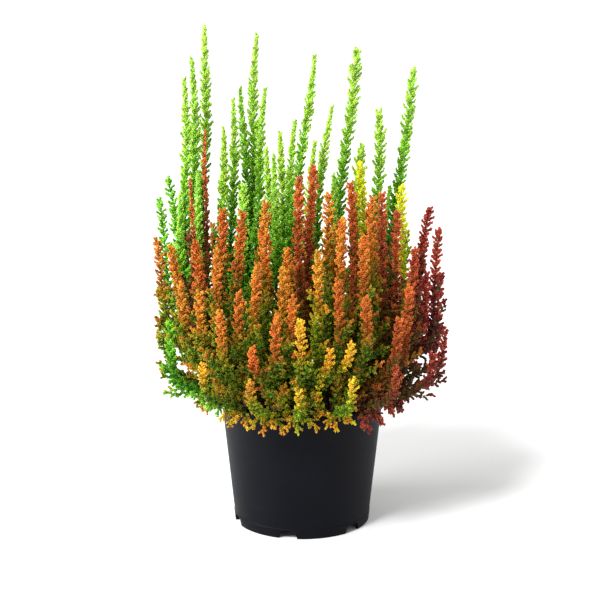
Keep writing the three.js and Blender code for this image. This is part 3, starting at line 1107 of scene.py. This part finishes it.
nurseryPot = makePot()
nurseryPot.data.materials.clear()
nurseryPot.data.materials.append(makeGrained("pot", pot))
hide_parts("pot")
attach(nurseryPot, "root")
print("pot done,", len(nurseryPot.data.polygons), "faces")


# Peat
peat = {
    "top": 113,
    "gap": 0.3,
    "segments": 72,
    "rings": 16,
    "bumps": 1.6,
    "broadBumps": 9,
    "fineBumps": 3,
    "fineShare": 0.5,
    "settled": 0.6,
    "crumbs": 300,
    "crumbSizes": (0.8, 2.6),
    "crumbWidths": (0.6, 1),
    "crumbHeights": (0.4, 0.8),
    "crumbSpread": 0.95,
    "crumbSunk": 0.3,
    "seed": 5,
    "grain": {"Fine Scale": 420.0, "Broad Scale": 80.0, "Broad Share": 0.4},
    "colours": [(0.3, (0.010, 0.006, 0.004)), (0.55, (0.040, 0.022, 0.013)), (0.8, (0.11, 0.07, 0.04))],
    "bump": {"distance": 0.0009, "strength": 0.9},
    "roughness": 0.95,
    "specular": 0.2,
}


def makePeat():
    draw = random.Random(peat["seed"])
    foot = pot["baseHeight"] + pot["baseThickness"] + peat["gap"]
    edgeIn = pot["wall"] + peat["gap"]
    footRadius = wallRadius(foot) - edgeIn
    topRadius = wallRadius(peat["top"]) - edgeIn
    bm = bmesh.new()
    bmesh.ops.create_cone(
        bm,
        cap_ends=True,
        segments=peat["segments"],
        radius1=footRadius,
        radius2=topRadius,
        depth=peat["top"] - foot,
        matrix=Matrix.Translation((0, 0, (peat["top"] + foot) / 2)),
    )
    surface = [face for face in bm.faces if face.normal.z > 0.9]
    for _ in range(peat["rings"] - 1):
        bmesh.ops.inset_region(bm, faces=surface, thickness=topRadius / peat["rings"])
    bmesh.ops.poke(bm, faces=surface)
    for vert in bm.verts:
        radius = math.hypot(vert.co.x, vert.co.y)
        if vert.co.z > peat["top"] - 1 and radius < topRadius - 1:
            broad = noise.noise(vert.co / peat["broadBumps"])
            fine = noise.noise(vert.co / peat["fineBumps"])
            vert.co.z += peat["bumps"] * (broad + peat["fineShare"] * fine) - peat["settled"]
    for _ in range(peat["crumbs"]):
        angle = draw.uniform(0, math.tau)
        radius = topRadius * peat["crumbSpread"] * math.sqrt(draw.random())
        size = draw.uniform(*peat["crumbSizes"])
        height = peat["top"] - peat["crumbSunk"]
        place = Matrix.Translation((radius * math.cos(angle), radius * math.sin(angle), height))
        wide = size * draw.uniform(*peat["crumbWidths"])
        high = size * draw.uniform(*peat["crumbHeights"])
        squash = Matrix.Diagonal((size, wide, high, 1))
        turn = Matrix.Rotation(draw.uniform(0, math.tau), 4, "Z")
        bmesh.ops.create_icosphere(bm, subdivisions=1, radius=1, matrix=place @ turn @ squash)
    return newObject("peat", finishedMesh(bm, "peat"))


peatPiece = makePeat()
peatPiece.data.materials.append(makeGrained("peat", peat))
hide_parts("soil")
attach(peatPiece, "root")
print("peat done,", len(peatPiece.data.polygons), "faces")


# Studio: a pale floor, a pale sky and soft lamps
studio = {
    "floor": 30,
    "floorColour": (0.88, 0.88, 0.88),
    "floorRoughness": 0.9,
    "floorSpecular": 0.1,
    "sky": (1.0, 1.0, 1.0),
    "skyStrength": 0.6,
    "sun": {"place": (-0.9, -1.25, 1.9), "spread": 14, "power": 2.9},
    "left": {"place": (-1.5, -0.5, 0.55), "size": 0.9, "power": 31},
    "back": {"place": (1.0, 1.5, 1.2), "size": 0.9, "power": 13},
    "aim": (0, 0, 0.22),
}

floorMesh = bmesh.new()
bmesh.ops.create_grid(floorMesh, x_segments=1, y_segments=1, size=studio["floor"] / mm)
floor = newObject("floor", finishedMesh(floorMesh, "floor"))
floorMaterial, _, floorShader = newMaterial("floor")
floorShader.inputs["Base Color"].default_value = (*studio["floorColour"], 1)
floorShader.inputs["Roughness"].default_value = studio["floorRoughness"]
floorShader.inputs["Specular IOR Level"].default_value = studio["floorSpecular"]
floor.data.materials.append(floorMaterial)

world = bpy.data.worlds.new("sky")
world.use_nodes = True
background = world.node_tree.nodes["Background"]
background.inputs["Color"].default_value = (*studio["sky"], 1)
background.inputs["Strength"].default_value = studio["skyStrength"]
bpy.context.scene.world = world

for name in ("sun", "left", "back"):
    isSun = name == "sun"
    lampData = bpy.data.lights.new(name, "SUN" if isSun else "AREA")
    lampData.energy = studio[name]["power"]
    if isSun:
        lampData.angle = math.radians(studio[name]["spread"])
    else:
        lampData.size = studio[name]["size"]
    lamp = newObject(name, lampData)
    lamp.location = studio[name]["place"]
    aim = Vector(studio["aim"]) - lamp.location
    lamp.rotation_euler = aim.to_track_quat("-Z", "Y").to_euler()
bpy.context.scene.view_settings.view_transform = "Standard"
print("studio done")
